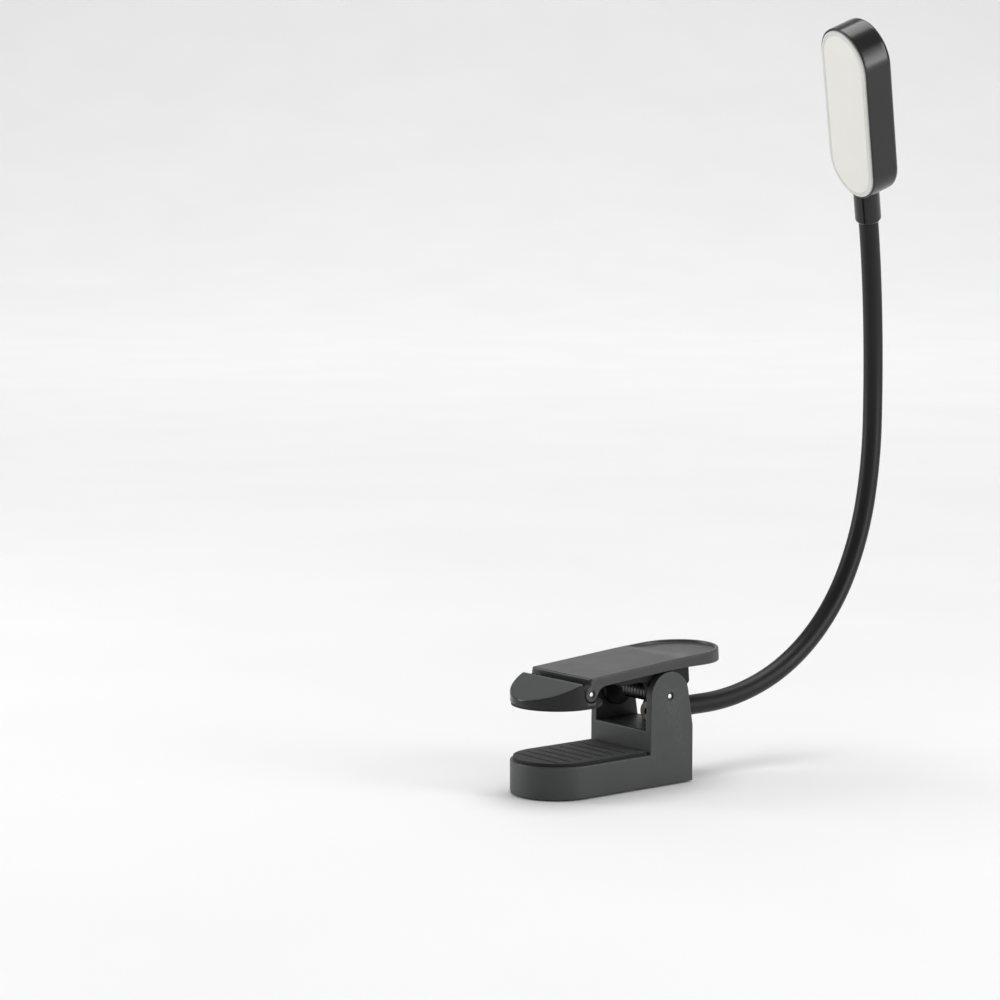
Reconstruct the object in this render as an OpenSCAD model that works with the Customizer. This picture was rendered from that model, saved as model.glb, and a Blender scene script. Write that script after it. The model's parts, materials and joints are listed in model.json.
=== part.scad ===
// Clip-on reading lamp: sprung jaw with a battery housing, flexible neck and flat light head.
// The frame's origin is the middle of the lower jaw's rubber face, straight below the front pin.
// +X runs from the jaw's tip to the handle, +Z is up, and every length is in millimetres.

/* [Jaw] */
// Width of the clip
clip_w = 36; // [34:0.5:38]
// Opening between the two rubber faces at rest
opening = 20.2; // [19:0.1:22]
// Length of the lower jaw's round front, ahead of the origin
jaw_front = 20.5; // [20:0.5:22]
// Height of the battery housing below the rubber face
housing_h = 14; // [13:0.5:16]
// Wall of the battery housing
wall = 2; // [1.8:0.1:2.2]
// Thickness of the lower rubber pad
pad_t = 1.2; // [1:0.1:1.4]

/* [Lever] */
// Tilt of the lever plate at rest, rear end higher
lever_tilt = 4.2; // [3:0.1:5]
// Thickness of the lever plate
plate_t = 4.1; // [3.7:0.1:4.3]
// Height of the plate's top above the main pin
plate_top = 14.1; // [14:0.1:14.5]
// Distance from the main pin forward to the plate's front edge and front pin
plate_front = 39.5; // [39:0.1:40]
// Distance from the main pin back to the centre of the round handle end
plate_rear = 18.3; // [18:0.1:19]
// Height of the front pin above the main pin, square to the plate
front_pin_up = 8; // [7.8:0.1:8.2]
// Downward slope of the handle end's top, against the plate's front
handle_droop = 1.5; // [1:0.1:2]
// Downward slope of the handle end's underside
handle_under = 4.2; // [3.6:0.1:4.4]
// Radius of the main pin
main_pin_r = 1.2; // [1.1:0.1:1.4]
// Radius of the front pin
front_pin_r = 1.1; // [1:0.1:1.2]

/* [Upper pad] */
// Height of the front pin above the upper rubber face
pad_pin_h = 5.7; // [5.6:0.1:5.9]
// Height of the pad at its rear top edge
pad_h = 10.2; // [10:0.1:10.4]
// Slope of the pad's top, falling to its tip
pad_slope = 22.7; // [20:0.5:24]

/* [Neck] */
// Outer diameter of the rubber sleeve
neck_d = 8; // [7.8:0.1:8.2]
// Length of one neck piece along its centre line
piece_l = 32; // [30:0.5:34]
// Length of the last neck piece, which belongs to the head
last_l = 26; // [24:0.5:28]
// Distance from the housing's rear wall to the first bend
root_l = 22; // [20:0.5:24]

/* [Head] */
// Width of the light head
head_w = 28.8; // [28:0.2:30]
// Length of the light head
head_l = 75.8; // [74:0.2:77]
// Thickness of the light head, without the raised diffuser
head_t = 12.6; // [12.2:0.1:13]
// Distance that the middle of the head lies behind the collar's axis
head_back = 0.25; // [0:0.05:0.5]
// Length of the collar under the head
collar_l = 14.4; // [12:0.2:16]
// Turn of the head about the neck's end
head_spin = -8; // [-20:1:20]

/* [Hidden] */
$fn = 64;

// Clearances
rub = 0.3;
run = 0.05;

// Clip
half_w = clip_w / 2;
jaw_r = half_w;
jaw_centre = -jaw_front + jaw_r;
hinge_x = plate_front * cos(lever_tilt) + front_pin_up * sin(lever_tilt);
front_pin_z = opening + pad_pin_h;
hinge_z = front_pin_z + plate_front * sin(lever_tilt) - front_pin_up * cos(lever_tilt);
droop_x = 7;
tray_depth = 1;
ear_t = 3.2;
ear_r = 9.7;
ear_flare = 11.5;
web_t = 2.5;
web_y = half_w - ear_t - rub;
arm_t = 3.2;
arm_r = 2.9;

// Battery housing
rear_x = hinge_x + 12;
throat_x = hinge_x - 10;
deck_z = 8;
cover_t = 1.8;
bay_front = jaw_centre;
screw_x = [-10, 34.5];
screw_y = 12;

// Rear wall fittings
board_x = rear_x - 7;
socket_z = -7;
button_y = 11;
button_z = -4;
button_r = 3;
flange_x = rear_x - wall - 0.05;
button_travel = 0.4;

// Neck: bend of each piece, and the direction in which it bends, about the neck's own axis
neck_r = neck_d / 2;
neck_z = hinge_z - 9;
bends = [18.5, 21.5, 22, 16.5, 10.5, 12, 12, 10];
sides = [0, 0, 0, 0, 0, 36, 36, 36];
core_r = 2.3;
ball_r = 3.7;
joint_gap = 0.3;

// Head
collar_r = 5.3;
stud_r = 2.2;
shell_t = 1.2;
guide_foot = 4.9;
led_screw_z = 29.4;
lens_w = head_w - 1.6;
lens_l = head_l - 1.6;

// Plates with two round ends, lying in the XY plane and running along X
module slot_2d(l, w) {
  straight = l - w;
  square([straight, w], center = true);
  for (s = [-1, 1])
    translate([s * straight / 2, 0]) circle(d = w);
}

// Outline of the jaw: a half-round front and straight sides back to x
module jaw_2d(inset, x) {
  r = jaw_r - inset;
  translate([jaw_centre, 0]) circle(r = r);
  translate([jaw_centre, -r]) square([x - jaw_centre, 2 * r]);
}

// Turns a drawing of the XZ plane into a plate square to Y, centred on y
module side_plate(y, t) {
  translate([0, y + t / 2, 0]) rotate([90, 0, 0]) linear_extrude(t) children();
}

// Round bar along Y
module bar(r, y0, y1) {
  translate([0, y0, 0]) rotate([-90, 0, 0]) cylinder(r = r, h = y1 - y0);
}

// Round bar along X
module rod(r, x0, x1) {
  translate([x0, 0, 0]) rotate([0, 90, 0]) cylinder(r = r, h = x1 - x0);
}

// Outline of one outer ear, seen from the side
module ear_2d() {
  circle(r = ear_r);
  polygon([
    [-ear_r * cos(8), ear_r * sin(8)],
    [ear_r * cos(8), ear_r * sin(8)],
    [ear_flare, deck_z - hinge_z],
    [-10, deck_z - hinge_z]
  ]);
}

module lower_shell() {
  color([0.13, 0.13, 0.14])
  difference() {
    union() {
      difference() {
        union() {
          translate([0, 0, -housing_h]) linear_extrude(housing_h - pad_t) jaw_2d(0, rear_x);
          translate([throat_x, -half_w, -housing_h]) cube([rear_x - throat_x, clip_w, housing_h + deck_z]);
          // Tower that carries the neck
          translate([rear_x - 5, -7, deck_z - 1]) cube([5, 14, neck_z - deck_z + 1]);
          translate([0, 0, neck_z]) rod(7, rear_x - 5, rear_x);
        }
        // Battery bay, open below
        translate([0, 0, -housing_h - 1])
          linear_extrude(housing_h + 1 - pad_t - wall) jaw_2d(wall, rear_x - wall);
        // Seat of the bottom cover
        translate([0, 0, -housing_h - 1]) linear_extrude(1 + cover_t) jaw_2d(wall / 2, rear_x - wall / 2);
        // Electronics space in the upstand
        translate([throat_x + wall, -half_w + wall, -housing_h])
          cube([rear_x - throat_x - 2 * wall, clip_w - 2 * wall, housing_h + deck_z - wall]);
        translate([0, 0, neck_z]) rod(neck_r + run, rear_x - 6, rear_x + 1);
      }
      // Outer ears
      for (s = [-1, 1])
        translate([hinge_x, 0, hinge_z]) side_plate(s * (half_w - ear_t / 2), ear_t) ear_2d();
      // Bosses of the cover screws
      for (x = screw_x, s = [-1, 1])
        translate([x, s * screw_y, -housing_h + cover_t])
          cylinder(r = 2.4, h = housing_h - cover_t + (x > throat_x ? deck_z - 1 : -pad_t - 1));
    }
    // Bores of the main pin, screws, charging socket, light pipe and buttons
    translate([hinge_x, 0, hinge_z]) bar(main_pin_r, -half_w - 1, half_w + 1);
    for (s = [-1, 1])
      translate([hinge_x, 0, hinge_z]) bar(main_pin_r + 0.5, s * half_w - 0.6, s * half_w + 0.6);
    for (x = screw_x, s = [-1, 1])
      translate([x, s * screw_y, -housing_h - 1]) cylinder(r = 0.9, h = 9);
    translate([rear_x - wall - 1, 0, socket_z])
      rotate([90, 0, 90]) linear_extrude(wall + 2) slot_2d(9.2, 3.5);
    translate([0, 0, socket_z + 4.5]) rod(0.8, rear_x - wall - 1, rear_x + 1);
    for (s = [-1, 1])
      translate([0, s * button_y, button_z]) rod(button_r + 0.15, rear_x - wall - 1, rear_x + 1);
  }
}

module bottom_cover() {
  color([0.12, 0.12, 0.13])
  difference() {
    translate([0, 0, -housing_h]) linear_extrude(cover_t) jaw_2d(wall / 2 + 0.1, rear_x - wall / 2 - 0.1);
    for (x = screw_x, s = [-1, 1])
      translate([x, s * screw_y, -housing_h]) {
        translate([0, 0, -1]) cylinder(r = 1.2, h = cover_t + 2);
        translate([0, 0, -1]) cylinder(r = 2.1, h = 1.9);
      }
  }
}

module cover_screws() {
  color("silver")
  for (x = screw_x, s = [-1, 1])
    translate([x, s * screw_y, -housing_h]) {
      difference() {
        cylinder(r = 1.95, h = 0.9);
        for (a = [0, 90])
          rotate([0, 0, a]) translate([-1.1, -0.25, -0.5]) cube([2.2, 0.5, 0.9]);
      }
      translate([0, 0, 0.9]) cylinder(r = 0.9, h = 5.6);
    }
}

module lower_pad() {
  color([0.09, 0.09, 0.09])
  difference() {
    translate([0, 0, -pad_t]) linear_extrude(pad_t) jaw_2d(1.2, throat_x - 1);
    for (i = [0:6])
      translate([-12 + 5.5 * i, 0, 0]) rotate([45, 0, 90]) cube([clip_w - 10, 0.7, 0.7], center = true);
  }
}

module battery() {
  color([0.25, 0.42, 0.66])
  translate([6, 0, -housing_h + cover_t + 0.6]) {
    linear_extrude(7.4) rounded_box_2d(34, 17);
    translate([17, 0, 1.2]) linear_extrude(5) translate([0.9, 0]) square([1.8, 14], center = true);
  }
}

// Box outline with round corners, centred
module rounded_box_2d(l, w, r = 1.5) {
  square([l - 2 * r, w], center = true);
  square([l, w - 2 * r], center = true);
  for (x = [-1, 1], y = [-1, 1])
    translate([x * (l / 2 - r), y * (w / 2 - r)]) circle(r = r);
}

module battery_foam() {
  color([0.2, 0.2, 0.22])
  translate([6, 0, -housing_h + cover_t]) linear_extrude(0.6) rounded_box_2d(28, 14);
}

module charge_board() {
  color([0.1, 0.35, 0.2])
  difference() {
    translate([board_x, -14, -11.6]) cube([1.2, 28, 16.6]);
    for (s = [-1, 1])
      translate([0, s * 11, 2.6]) rod(1, board_x - 1, board_x + 2);
  }
}

module board_screws() {
  color("silver")
  for (s = [-1, 1])
    translate([0, s * 11, 2.6]) {
      rod(0.95, board_x, board_x + 1.2);
      rod(1.8, board_x - 1, board_x);
    }
}

module charge_socket() {
  color("silver")
  difference() {
    translate([board_x + 1.2, 0, socket_z])
      rotate([90, 0, 90]) linear_extrude(rear_x - board_x - 1.5) slot_2d(9, 3.3);
    translate([board_x + 2.4, 0, socket_z])
      rotate([90, 0, 90]) linear_extrude(8) slot_2d(8.4, 2.7);
  }
  color([0.1, 0.1, 0.1])
  translate([board_x + 2.4, -3.3, socket_z - 0.35]) cube([rear_x - board_x - 4, 6.6, 0.7]);
}

module tact_switches() {
  color([0.75, 0.75, 0.72])
  for (s = [-1, 1])
    translate([board_x + 1.2, s * button_y, button_z]) {
      translate([0, -2.2, -2.2]) cube([1.2, 4.4, 4.4]);
      rod(1, 1.2, 1.6);
    }
}

module light_pipe() {
  color([0.95, 0.95, 0.9])
  translate([0, 0, socket_z + 4.5]) rod(0.75, board_x + 1.2, rear_x);
}

module push_button(y) {
  translate([0, y, button_z]) {
    rod(button_r, flange_x, rear_x + 0.9);
    rod(button_r + 0.8, flange_x - 0.7, flange_x);
    rod(1.2, board_x + 2.8 + button_travel + 0.1, flange_x - 0.7);
  }
}

module power_button() {
  color([0.2, 0.2, 0.21]) push_button(-button_y);
}

module colour_button() {
  color([0.2, 0.2, 0.21]) push_button(button_y);
}

module main_pin() {
  color("silver")
  translate([hinge_x, 0, hinge_z]) bar(main_pin_r, -half_w + 0.3, half_w - 0.3);
}

// Torsion spring wound round the main pin: a leg down to the deck, the coil, and a leg up to the handle
module jaw_spring() {
  wire = 0.75;
  turn_r = main_pin_r + wire + 0.9;
  turns = 8;
  steps = 20;
  pitch = 1.75;
  half = turns * pitch / 2;
  down = deck_z - hinge_z + 0.1;
  up = plate_top - plate_t - 0.3;
  function on_coil(t) = [turn_r * cos(360 * t), -half + pitch * t, turn_r * sin(360 * t)];
  path = concat(
    [[turn_r, -half, down], [turn_r, -half, down / 2]],
    [for (i = [0:turns * steps]) on_coil(i / steps)],
    [[turn_r, half, up / 2], [turn_r, half, up]]
  );
  color([0.7, 0.7, 0.72])
  translate([hinge_x, 0, hinge_z]) swept_wire(path, wire, 8);
}

// Round wire of radius r along a path whose steps are nearly square to Y
module swept_wire(path, r, sides) {
  last = len(path) - 1;
  function unit(v) = v / norm(v);
  function along(i) = unit(path[min(i + 1, last)] - path[max(i - 1, 0)]);
  rings = [for (i = [0:last]) let (t = along(i), u = unit(cross(t, [0, 1, 0])), v = cross(t, u))
    for (k = [0:sides - 1]) path[i] + r * (cos(360 * k / sides) * u + sin(360 * k / sides) * v)];
  walls = [for (i = [0:last - 1], k = [0:sides - 1]) let (n = (k + 1) % sides)
    [i * sides + k, i * sides + n, (i + 1) * sides + n, (i + 1) * sides + k]];
  polyhedron(rings, concat(
    walls,
    [[for (k = [sides - 1:-1:0]) k]],
    [[for (k = [0:sides - 1]) last * sides + k]]
  ));
}

module neck_ferrule() {
  color([0.16, 0.16, 0.17])
  translate([0, 0, neck_z])
  difference() {
    union() {
      rod(5.6, rear_x, rear_x + 4.5);
      translate([rear_x + 4.5, 0, 0]) rotate([0, 90, 0]) cylinder(r1 = 5.6, r2 = 4.8, h = 1.5);
    }
    rod(neck_r + run, rear_x - 1, rear_x + 8);
  }
}

module root_fitting() {
  color([0.75, 0.73, 0.68])
  translate([0, 0, neck_z])
  difference() {
    rod(3.7, rear_x - 8.5, rear_x - 5.2);
    rod(1.4, rear_x - 9, rear_x - 5);
  }
}

// Outline of the lever's plate seen from above, drawn in by inset
module plate_2d(inset) {
  r = half_w - inset;
  translate([plate_rear, 0]) circle(r = r);
  translate([-plate_front, -r]) square([plate_front + plate_rear, 2 * r]);
}

// Lever plate: flat in front, drooping behind, with a tray in the drooping end
module lever_plate() {
  end_x = plate_rear + half_w;
  slope = tan(handle_droop);
  drop = (end_x - droop_x) * slope;
  under_drop = (end_x + 1 - droop_x) * tan(handle_under);
  underside = plate_top - plate_t;
  hollow = 0.8;
  difference() {
    intersection() {
      translate([0, 0, plate_top - 10]) linear_extrude(12) plate_2d(0);
      side_plate(0, clip_w + 2) polygon([
        [-plate_front, underside],
        [-plate_front, plate_top],
        [droop_x, plate_top],
        [end_x + 1, plate_top - drop - slope],
        [end_x + 1, underside - under_drop],
        [droop_x, underside]
      ]);
    }
    intersection() {
      translate([0, 0, plate_top - 10]) linear_extrude(14) plate_2d(1.5);
      side_plate(0, clip_w) polygon([
        [droop_x, plate_top + 0.4],
        [droop_x + 10, plate_top - 10 * slope - tray_depth],
        [end_x, plate_top - drop - tray_depth],
        [end_x, plate_top + 2],
        [droop_x, plate_top + 2]
      ]);
    }
    // Hollows below
    translate([-plate_front - 1, -half_w + arm_t + 0.2, underside - 1])
      cube([plate_front - 25, clip_w - 2 * arm_t - 0.4, 1 + hollow]);
    translate([plate_rear - 2, -half_w + 6, underside - 3]) cube([12, clip_w - 12, 3]);
  }
}

// Side view of one front arm, in the lever's frame
module arm_2d() {
  translate([-plate_front, front_pin_up]) circle(r = arm_r);
  polygon([
    [-plate_front, plate_top - 0.5],
    [-plate_front - arm_r * cos(20), front_pin_up + arm_r * sin(20)],
    [-plate_front + arm_r * cos(35), front_pin_up - arm_r * sin(35)],
    [-plate_front + 4.4, front_pin_up + 1.2],
    [-plate_front + 6.6, front_pin_up + 2.1],
    [-plate_front + 10, plate_top - plate_t],
    [-plate_front + 10, plate_top - 0.5]
  ]);
}

// Side view of one inner ear and the rib that runs forward from it, in the lever's frame
module web_2d() {
  top = plate_top - plate_t + 0.3;
  circle(r = 7.5);
  polygon([
    [-7.5, 0],
    [7.5, 0],
    [13.4, 3.2],
    [13.4, top],
    [-25, top],
    [-22, top - 2.9],
    [-10, top - 3.3],
    [-7.8, top - 5.5]
  ]);
}

module lever() {
  color([0.2, 0.2, 0.21])
  translate([hinge_x, 0, hinge_z]) rotate([0, -lever_tilt, 0])
  difference() {
    union() {
      lever_plate();
      for (s = [-1, 1]) {
        side_plate(s * (half_w - arm_t / 2), arm_t) arm_2d();
        side_plate(s * (web_y - web_t / 2), web_t) web_2d();
      }
    }
    bar(main_pin_r + run, -half_w, half_w);
    translate([-plate_front, 0, front_pin_up]) bar(front_pin_r + 0.01, -half_w - 1, half_w + 1);
  }
}

module front_pin() {
  color("silver")
  translate([0, 0, front_pin_z]) bar(front_pin_r, -half_w + 0.2, half_w - 0.2);
}

// Side view of the upper pad, with its rubber face at z = 0
module pad_side_2d() {
  top_x = -5;
  tip_z = pad_h - (jaw_front + top_x) * tan(pad_slope);
  polygon([
    [-jaw_front - 1, 1.2],
    [-jaw_front - 1, tip_z - tan(pad_slope)],
    [top_x, pad_h],
    [-4, pad_h],
    [-3.6, pad_h - 2],
    [3.6, pad_h - 5.2],
    [3.6, 1.2]
  ]);
}

module pad_body() {
  pocket = arm_t + 0.4;
  color([0.17, 0.18, 0.18])
  translate([0, 0, opening])
  difference() {
    union() {
      intersection() {
        side_plate(0, clip_w) pad_side_2d();
        linear_extrude(12) jaw_2d(0, 3.6);
      }
      // Barrel that turns on the front pin
      translate([0, 0, pad_pin_h]) bar(2.3, -half_w + pocket, half_w - pocket);
    }
    // Pockets for the lever's arms
    for (s = [-1, 1])
      translate([0, 0, pad_pin_h]) side_plate(s * (half_w - pocket / 2 + 0.1), pocket + 0.2) {
        circle(r = arm_r + 0.6);
        polygon([[-arm_r - 0.6, 0], [2.1, -arm_r], [5, -0.8], [9, -0.8], [9, 9], [-arm_r - 1.8, 9]]);
      }
    translate([0, 0, pad_pin_h]) bar(front_pin_r + run, -half_w, half_w);
  }
}

module pad_sole() {
  color([0.08, 0.08, 0.08])
  translate([0, 0, opening])
  difference() {
    linear_extrude(1.2) jaw_2d(0.4, 3.2);
    for (i = [0:2])
      translate([-14 + 5.5 * i, 0, 0]) rotate([45, 0, 90]) cube([clip_w - 12, 0.6, 0.6], center = true);
  }
}

// Carries its children along one bent neck piece, to its far end
module past_piece(l, bend, side) {
  r = l / (bend * PI / 180);
  rotate([0, 0, side]) translate([r * (1 - cos(bend)), 0, r * sin(bend)])
    rotate([0, bend, 0]) rotate([0, 0, -side]) children();
}

// Carries its children to bend n, with z along the neck and x towards the inside of its curve
module at_bend(n) {
  if (n == 0)
    translate([rear_x + root_l, 0, neck_z]) rotate([0, 90, 0]) rotate([0, 0, 180]) children();
  else
    at_bend(n - 1) past_piece(piece_l, bends[n - 1], sides[n - 1]) children();
}

// Bar of radius r bent to an arc that starts along z and leans towards x
module bent_bar(r, l, bend) {
  arc_r = l / (bend * PI / 180);
  translate([arc_r, 0, 0]) rotate([90, 0, 180])
    rotate_extrude(angle = bend, $fn = 64) translate([arc_r, 0]) circle(r = r, $fn = 48);
}

// Rubber sleeve of neck piece n, hollowed for its core and cut clear of the piece before it
module sleeve(n) {
  l = n == 8 ? last_l : piece_l;
  color([0.1, 0.1, 0.105])
  difference() {
    at_bend(n - 1) rotate([0, 0, sides[n - 1]])
    difference() {
      bent_bar(neck_r, l, bends[n - 1]);
      bent_bar(core_r + run, l, bends[n - 1]);
      sphere(r = neck_r + joint_gap);
    }
    if (n < 8) at_bend(n) sphere(r = ball_r + run);
  }
}

// Steel gooseneck inside neck piece n, clear of the bend at its start, with a ball at its far end
module core(n) {
  l = n == 8 ? last_l : piece_l;
  bend = bends[n - 1];
  skip = 5 / l * bend;
  arc_r = l / (bend * PI / 180);
  color([0.6, 0.6, 0.6]) {
    at_bend(n - 1) rotate([0, 0, sides[n - 1]])
    translate([arc_r, 0, 0]) rotate([90, 0, 180]) rotate([0, 0, skip])
      rotate_extrude(angle = bend - skip, $fn = 64) translate([arc_r, 0]) circle(r = core_r, $fn = 48);
    if (n < 8) at_bend(n) sphere(r = ball_r);
  }
}

module sleeve_0() {
  color([0.1, 0.1, 0.105])
  translate([0, 0, neck_z])
  difference() {
    rod(neck_r, rear_x - 5, rear_x + root_l);
    rod(core_r + run, rear_x - 6, rear_x + root_l + 1);
    translate([rear_x + root_l, 0, 0]) sphere(r = ball_r + run);
  }
}

module core_0() {
  color([0.6, 0.6, 0.6])
  translate([0, 0, neck_z]) {
    rod(core_r, rear_x - 5, rear_x + root_l);
    translate([rear_x + root_l, 0, 0]) sphere(r = ball_r);
  }
}

// Carries its children to the collar's foot: z along the head, x towards its back
module at_head() {
  at_bend(7) past_piece(last_l, bends[7], sides[7]) rotate([0, 0, 180 + head_spin]) children();
}

// Carries its children to the middle of the head's front plane, with z still along the head
module at_lens() {
  at_head() translate([head_back - head_t / 2, 0, collar_l + head_l / 2]) children();
}

// Slab with two round ends, square to the head's front, between two depths
module head_slab(w, l, x0, x1) {
  translate([x0, 0, 0]) rotate([90, 0, 90]) linear_extrude(x1 - x0) rotate([0, 0, 90]) slot_2d(l, w);
}

module head_collar() {
  color([0.08, 0.08, 0.085])
  at_head()
  difference() {
    union() {
      cylinder(r1 = collar_r - 0.6, r2 = collar_r, h = 0.8);
      translate([0, 0, 0.8]) cylinder(r = collar_r, h = collar_l - 0.8 + 1);
    }
    translate([0, 0, -1]) cylinder(r = neck_r - 1, h = collar_l + 4);
    translate([head_back - head_t / 2, 0, collar_l + head_l / 2]) head_slab(head_w, head_l, 0, head_t);
  }
}

module head_fitting() {
  color([0.75, 0.73, 0.68])
  at_head()
  difference() {
    union() {
      cylinder(r = neck_r - 1.05, h = collar_l - 0.05);
      cylinder(r = stud_r, h = collar_l + 4.4);
    }
    translate([0, 0, -1]) cylinder(r = 1.4, h = collar_l + 8);
  }
}

module fitting_nut() {
  color([0.75, 0.73, 0.68])
  at_head() translate([0, 0, collar_l + 1.9])
  difference() {
    cylinder(r = 3.6, h = 2, $fn = 6);
    translate([0, 0, -1]) cylinder(r = stud_r + run, h = 4);
  }
}

module head_shell() {
  edge = 2.4;
  color([0.12, 0.12, 0.125])
  difference() {
    at_lens()
    difference() {
      union() {
        head_slab(head_w, head_l, 0.3, head_t - edge);
        head_slab(head_w - 2 * edge, head_l - 2 * edge, 0.3, head_t);
        translate([head_t - edge, 0, 0])
          rotate([90, 0, 90]) round_rim(head_w / 2 - edge, head_l - head_w, edge);
      }
      difference() {
        head_slab(head_w - 2 * shell_t, head_l - 2 * shell_t, -1, head_t - shell_t - 0.6);
        // Bosses that carry the LED board
        for (s = [-1, 1])
          translate([0, 0, s * led_screw_z]) rod(2.2, 7.2, head_t);
      }
      for (s = [-1, 1])
        translate([0, 0, s * led_screw_z]) rod(0.95, 5, 10.4);
    }
    at_head() cylinder(r = stud_r + run, h = collar_l + 8);
  }
}

// Quarter-round rim that follows a slot outline, for the head's back edge
module round_rim(r, straight, edge) {
  module quarter() {
    intersection() {
      circle(r = edge);
      square(edge);
    }
  }
  for (s = [-1, 1])
    translate([0, s * straight / 2, 0]) rotate([0, 0, s > 0 ? 0 : 180])
      rotate_extrude(angle = 180) translate([r, 0]) quarter();
  for (s = [-1, 1])
    translate([s * r, s * straight / 2, 0]) rotate([90, 0, s > 0 ? 0 : 180])
      linear_extrude(straight) quarter();
}

module diffuser() {
  color([0.93, 0.93, 0.9])
  at_lens() {
    head_slab(lens_w, lens_l, -0.7, 0.1);
    difference() {
      head_slab(head_w - 2 * shell_t - 0.1, head_l - 2 * shell_t - 0.1, 0.1, 1.6);
      head_slab(head_w - 2 * shell_t - 2.5, head_l - 2 * shell_t - 2.5, 0.9, 2);
    }
  }
}

// Room for the fitting and its nut at the head's foot
module head_foot_space() {
  translate([0, -head_w / 2, -head_l / 2]) cube([head_t, head_w, guide_foot]);
}

module light_guide() {
  color([0.97, 0.97, 0.97])
  at_lens()
  difference() {
    head_slab(head_w - 2 * shell_t - 0.6, head_l - 2 * shell_t - 0.6, 1.7, 5.2);
    for (i = [-4:4])
      translate([0, 0, i * 6.4]) rod(2.6, 1, 6);
    head_foot_space();
  }
}

module led_board() {
  color([0.9, 0.9, 0.88])
  at_lens()
  difference() {
    head_slab(head_w - 2 * shell_t - 1, head_l - 2 * shell_t - 1, 6.2, 7.2);
    for (s = [-1, 1])
      translate([0, 0, s * led_screw_z]) rod(1, 5, 8);
    head_foot_space();
  }
}

module leds() {
  color([0.98, 0.9, 0.55])
  at_lens()
  for (i = [-4:4])
    translate([5.4, -1.4, i * 6.4 - 1.4]) cube([0.8, 2.8, 2.8]);
}

module led_screws() {
  color("silver")
  at_lens()
  for (s = [-1, 1])
    translate([0, 0, s * led_screw_z]) {
      rod(0.94, 6.2, 10.2);
      rod(1.8, 5.3, 6.2);
    }
}

lower_shell();
bottom_cover();
cover_screws();
lower_pad();
battery();
battery_foam();
charge_board();
charge_socket();
tact_switches();
light_pipe();
board_screws();
main_pin();
jaw_spring();
neck_ferrule();
root_fitting();
power_button();
colour_button();
lever();
front_pin();
pad_body();
pad_sole();
sleeve_0();
core_0();
for (n = [1:8]) {
  sleeve(n);
  core(n);
}
head_collar();
head_fitting();
fitting_nut();
head_shell();
diffuser();
light_guide();
led_board();
leds();
led_screws();
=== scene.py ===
import json
import math

import bmesh
import bpy
from mathutils import Matrix, Vector


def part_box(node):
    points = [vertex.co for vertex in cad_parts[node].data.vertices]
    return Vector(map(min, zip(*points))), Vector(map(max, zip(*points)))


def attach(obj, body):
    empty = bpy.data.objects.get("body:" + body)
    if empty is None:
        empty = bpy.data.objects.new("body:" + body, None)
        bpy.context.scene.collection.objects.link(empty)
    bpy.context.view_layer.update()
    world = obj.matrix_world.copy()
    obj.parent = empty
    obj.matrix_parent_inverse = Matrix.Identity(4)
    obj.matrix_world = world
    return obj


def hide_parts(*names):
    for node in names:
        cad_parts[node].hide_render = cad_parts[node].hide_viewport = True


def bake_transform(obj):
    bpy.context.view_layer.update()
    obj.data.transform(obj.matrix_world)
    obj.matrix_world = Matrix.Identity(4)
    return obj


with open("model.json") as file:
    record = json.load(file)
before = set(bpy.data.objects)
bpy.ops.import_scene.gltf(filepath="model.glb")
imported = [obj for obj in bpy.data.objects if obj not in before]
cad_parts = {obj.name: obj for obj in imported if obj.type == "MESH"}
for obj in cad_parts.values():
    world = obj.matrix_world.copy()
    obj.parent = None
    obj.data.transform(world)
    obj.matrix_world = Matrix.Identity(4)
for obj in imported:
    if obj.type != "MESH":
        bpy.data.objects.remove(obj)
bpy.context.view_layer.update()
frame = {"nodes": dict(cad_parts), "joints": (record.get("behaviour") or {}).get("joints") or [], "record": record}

MM = 0.001


# ---------------------------------------------------------------- places read from the frame

def joint_point(name):
    """Where a joint's axis passes, in millimetres."""
    found = next(j for j in frame["joints"] if j["name"] == name)
    return Vector(found["pos_m"]) / MM


def box_mm(node):
    low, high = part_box(node)
    return low / MM, high / MM


def largest_normal(node, square_to=None):
    """Normal of a node's largest triangle, or of its largest one square to a direction."""
    best, found = 0.0, None
    for face in frame["nodes"][node].data.polygons:
        if square_to is not None and abs(face.normal.dot(square_to)) > 0.01:
            continue
        if face.area > best:
            best, found = face.area, face.normal.copy()
    return found.normalized()


def span_along(node, axis):
    """Lowest and highest place of a node along a direction, in millimetres."""
    places = [v.co.dot(axis) / MM for v in frame["nodes"][node].data.vertices]
    return min(places), max(places)


def matrix_of(x, y, z, origin):
    """The frame with these axes and origin."""
    m = Matrix((x, y, z)).transposed().to_4x4()
    m.translation = origin
    return m


# Clip, in millimetres. What the frame doesn't say repeats the design's own dimension.
hinge = joint_point("jaw_hinge")
front_pin = joint_point("pad_pivot")
shell_low, shell_high = box_mm("lower_shell")
half_w = shell_high.y
housing_z = shell_low.z
rear_x = shell_high.x
deck_z = 8.0
throat_x = hinge.x - 10
jaw_front_x = shell_low.x
jaw_centre_x = jaw_front_x + half_w
pad_t = -box_mm("lower_pad")[0].z
ear_t = 3.2
arm_t = 3.2
neck_z = joint_point("neck_bend_1").z

# Lever, in its own frame: x back along the plate, z up, origin on the main pin. pin_back and pin_up
# are the front pin's place there, and plate_end_x is the centre of the round handle end.
pin_back, pin_up = -39.5, 8.0
plate_top, plate_t = 14.1, 4.1
plate_end_x = 18.3
lever_tilt = math.atan2(front_pin.z - hinge.z, hinge.x - front_pin.x) - math.atan2(pin_up, -pin_back)
LEVER = Matrix.Translation(hinge) @ Matrix.Rotation(lever_tilt, 4, "Y")

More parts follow.
